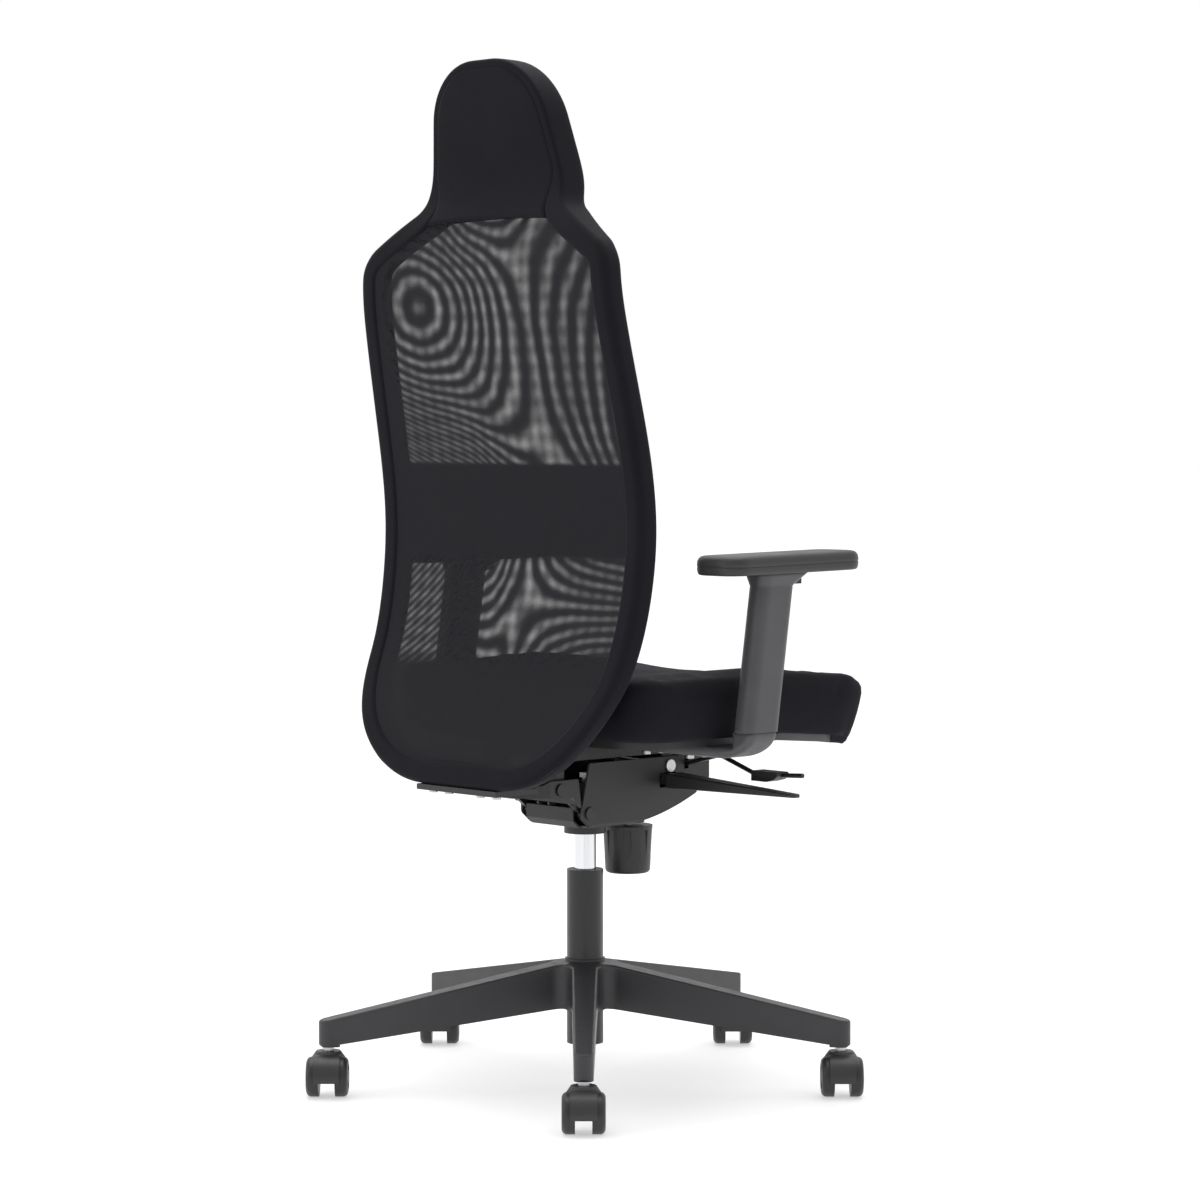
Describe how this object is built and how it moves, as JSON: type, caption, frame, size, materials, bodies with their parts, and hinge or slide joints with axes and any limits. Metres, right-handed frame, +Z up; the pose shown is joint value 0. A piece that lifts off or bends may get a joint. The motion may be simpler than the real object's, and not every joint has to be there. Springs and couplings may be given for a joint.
{
  "type": "swivel office chair",
  "caption": "High-backed swivel office chair with a mesh back and headrest, height-adjustable armrests, synchronous tilt, gas lift and a star base on twin-wheel casters.",
  "frame": {"origin": "on the floor, on the axis of the column", "axes": "+Z up along the column, -Y the way the sitter faces, -X to the sitter's right"},
  "size_m": [0.7061, 0.7114, 1.2958],
  "materials": {
    "nylon": "satin moulded nylon",
    "housing_paint": "dark grey powder coat on a casting",
    "black_steel": "satin black paint",
    "bright_steel": "bright zinc",
    "chrome": "polished chrome",
    "black_plastic": "fine grained",
    "pan_plastic": "moulded",
    "pad_foam": "integral skin foam",
    "seat_fabric": "fine knit",
    "border_fabric": "fine knit",
    "mesh_fabric": "open knitted mesh",
    "caster_plastic": "moulded nylon"
  },
  "bodies": {
    "base": {"star_base": "nylon", "caster_stems": "bright_steel", "column_tube": "black_steel", "guide_bush": "black_plastic", "thrust_bearing": "bright_steel"},
    "rod": {"piston_rod": "bright_steel"},
    "mechanism": {"gas_cylinder": "chrome", "mech_housing": "housing_paint", "main_pivot_pin": "black_steel", "front_pivot_pin": "bright_steel", "tension_spring": "bright_steel"},
    "valve": {"valve_pin": "bright_steel"},
    "yoke": {"tension_yoke": "bright_steel"},
    "knob": {"tension_spindle": "bright_steel", "tension_knob": "black_plastic"},
    "height_lever": {"lever_shaft": "bright_steel", "height_lever": "black_plastic"},
    "lock_lever": {"lock_lever": "black_steel", "lock_paddle": "black_plastic"},
    "seat": {"seat_plate": "black_steel", "seat_pan": "pan_plastic", "seat_cushion": "seat_fabric", "seat_bolts": "bright_steel", "arm_bracket_left": "nylon", "arm_bracket_right": "nylon"},
    "arm_left": {"arm_sleeve_left": "nylon", "arm_pad_left": "pad_foam"},
    "arm_right": {"arm_sleeve_right": "nylon", "arm_pad_right": "pad_foam"},
    "button_left": {"arm_button_left": "black_plastic"},
    "button_right": {"arm_button_right": "black_plastic"},
    "back": {"back_carrier": "black_steel", "link_pin": "black_steel", "carrier_bolts": "bright_steel", "back_frame": "black_plastic", "back_border": "border_fabric", "front_mesh": "mesh_fabric", "rear_mesh": "mesh_fabric", "lumbar_band": "border_fabric", "headrest_pad": "border_fabric"},
    "caster_1": {"caster_1_hood": "caster_plastic", "caster_1_axle": "bright_steel"},
    "caster_1_wheel_left": {"caster_1_wheel_left": "caster_plastic"},
    "caster_1_wheel_right": {"caster_1_wheel_right": "caster_plastic"},
    "caster_2": {"caster_2_hood": "caster_plastic", "caster_2_axle": "bright_steel"},
    "caster_2_wheel_left": {"caster_2_wheel_left": "caster_plastic"},
    "caster_2_wheel_right": {"caster_2_wheel_right": "caster_plastic"},
    "caster_3": {"caster_3_hood": "caster_plastic", "caster_3_axle": "bright_steel"},
    "caster_3_wheel_left": {"caster_3_wheel_left": "caster_plastic"},
    "caster_3_wheel_right": {"caster_3_wheel_right": "caster_plastic"},
    "caster_4": {"caster_4_hood": "caster_plastic", "caster_4_axle": "bright_steel"},
    "caster_4_wheel_left": {"caster_4_wheel_left": "caster_plastic"},
    "caster_4_wheel_right": {"caster_4_wheel_right": "caster_plastic"},
    "caster_5": {"caster_5_hood": "caster_plastic", "caster_5_axle": "bright_steel"},
    "caster_5_wheel_left": {"caster_5_wheel_left": "caster_plastic"},
    "caster_5_wheel_right": {"caster_5_wheel_right": "caster_plastic"}
  },
  "joints": [
    {"name": "seat_swivel", "type": "hinge", "parent": "base", "child": "rod", "pos_m": [0, 0, 0.06], "axis": [0, 0, 1], "continuous": true},
    {"name": "seat_lift", "type": "slide", "parent": "rod", "child": "mechanism", "axis": [0, 0, 1], "range_m": [-0.044, 0.056]},
    {"name": "valve_press", "type": "slide", "parent": "mechanism", "child": "valve", "axis": [0, 0, -1], "range_m": [0, 0.004]},
    {"name": "knob_turn", "type": "hinge", "parent": "mechanism", "child": "knob", "pos_m": [0, -0.076, 0.3193], "axis": [0, 0, 1], "range_deg": [-900, 900]},
    {"name": "yoke_travel", "type": "slide", "parent": "mechanism", "child": "yoke", "axis": [0, 0, 1], "range_m": [-0.0032, 0.0032]},
    {"name": "height_lever_lift", "type": "hinge", "parent": "mechanism", "child": "height_lever", "pos_m": [-0.04, -0.092, 0.3853], "axis": [0, 1, 0], "range_deg": [0, 5.5], "stiffness_Nm_per_rad": 1},
    {"name": "lock_lever_swing", "type": "hinge", "parent": "mechanism", "child": "lock_lever", "pos_m": [-0.046, -0.126, 0.4013], "axis": [0, 1, 0], "range_deg": [-8, 4]},
    {"name": "back_recline", "type": "hinge", "parent": "mechanism", "child": "back", "pos_m": [0, 0.046, 0.3513], "axis": [-1, 0, 0], "range_deg": [0, 20], "stiffness_Nm_per_rad": 45, "springref_deg": -28.65, "deforming": ["tension_spring"]},
    {"name": "seat_tilt", "type": "hinge", "parent": "mechanism", "child": "seat", "pos_m": [0, -0.096, 0.4033], "axis": [-1, 0, 0], "range_deg": [-0.1, 5.9]},
    {"name": "arm_left_height", "type": "slide", "parent": "seat", "child": "arm_left", "axis": [0, -0.1483, 0.9889], "range_m": [0, 0.07]},
    {"name": "arm_left_release", "type": "slide", "parent": "arm_left", "child": "button_left", "axis": [0, 1, 0], "range_m": [0, 0.004], "stiffness_N_per_m": 600, "springref_m": -0.002},
    {"name": "arm_right_height", "type": "slide", "parent": "seat", "child": "arm_right", "axis": [0, -0.1483, 0.9889], "range_m": [0, 0.07]},
    {"name": "arm_right_release", "type": "slide", "parent": "arm_right", "child": "button_right", "axis": [0, 1, 0], "range_m": [0, 0.004], "stiffness_N_per_m": 600, "springref_m": -0.002},
    {"name": "caster_1_swivel", "type": "hinge", "parent": "base", "child": "caster_1", "pos_m": [-0.24744, 0.23318, 0.05], "axis": [0, 0, 1], "continuous": true},
    {"name": "caster_1_left_roll", "type": "hinge", "parent": "caster_1", "child": "caster_1_wheel_left", "pos_m": [-0.26061, 0.24545, 0.025], "axis": [0.682, 0.7314, 0], "continuous": true},
    {"name": "caster_1_right_roll", "type": "hinge", "parent": "caster_1", "child": "caster_1_wheel_right", "pos_m": [-0.26061, 0.24545, 0.025], "axis": [0.682, 0.7314, 0], "continuous": true},
    {"name": "caster_2_swivel", "type": "hinge", "parent": "base", "child": "caster_2", "pos_m": [-0.29823, -0.16328, 0.05], "axis": [0, 0, 1], "continuous": true},
    {"name": "caster_2_left_roll", "type": "hinge", "parent": "caster_2", "child": "caster_2_wheel_left", "pos_m": [-0.31139, -0.151, 0.025], "axis": [0.682, 0.7314, 0], "continuous": true},
    {"name": "caster_2_right_roll", "type": "hinge", "parent": "caster_2", "child": "caster_2_wheel_right", "pos_m": [-0.31139, -0.151, 0.025], "axis": [0.682, 0.7314, 0], "continuous": true},
    {"name": "caster_3_swivel", "type": "hinge", "parent": "base", "child": "caster_3", "pos_m": [0.06313, -0.33409, 0.05], "axis": [0, 0, 1], "continuous": true},
    {"name": "caster_3_left_roll", "type": "hinge", "parent": "caster_3", "child": "caster_3_wheel_left", "pos_m": [0.04996, -0.32181, 0.025], "axis": [0.682, 0.7314, 0], "continuous": true},
    {"name": "caster_3_right_roll", "type": "hinge", "parent": "caster_3", "child": "caster_3_wheel_right", "pos_m": [0.04996, -0.32181, 0.025], "axis": [0.682, 0.7314, 0], "continuous": true},
    {"name": "caster_4_swivel", "type": "hinge", "parent": "base", "child": "caster_4", "pos_m": [0.33724, -0.0432, 0.05], "axis": [0, 0, 1], "continuous": true},
    {"name": "caster_4_left_roll", "type": "hinge", "parent": "caster_4", "child": "caster_4_wheel_left", "pos_m": [0.32408, -0.03093, 0.025], "axis": [0.682, 0.7314, 0], "continuous": true},
    {"name": "caster_4_right_roll", "type": "hinge", "parent": "caster_4", "child": "caster_4_wheel_right", "pos_m": [0.32408, -0.03093, 0.025], "axis": [0.682, 0.7314, 0], "continuous": true},
    {"name": "caster_5_swivel", "type": "hinge", "parent": "base", "child": "caster_5", "pos_m": [0.1453, 0.30739, 0.05], "axis": [0, 0, 1], "continuous": true},
    {"name": "caster_5_left_roll", "type": "hinge", "parent": "caster_5", "child": "caster_5_wheel_left", "pos_m": [0.13214, 0.31966, 0.025], "axis": [0.682, 0.7314, 0], "continuous": true},
    {"name": "caster_5_right_roll", "type": "hinge", "parent": "caster_5", "child": "caster_5_wheel_right", "pos_m": [0.13214, 0.31966, 0.025], "axis": [0.682, 0.7314, 0], "continuous": true}
  ],
  "couplings": [
    {"joint": "valve_press", "follows": "height_lever_lift", "m_per_rad": 0.0405},
    {"joint": "yoke_travel", "follows": "knob_turn", "m_per_rad": 0.00019894},
    {"joint": "seat_tilt", "follows": "back_recline", "ratio": 0.285}
  ]
}
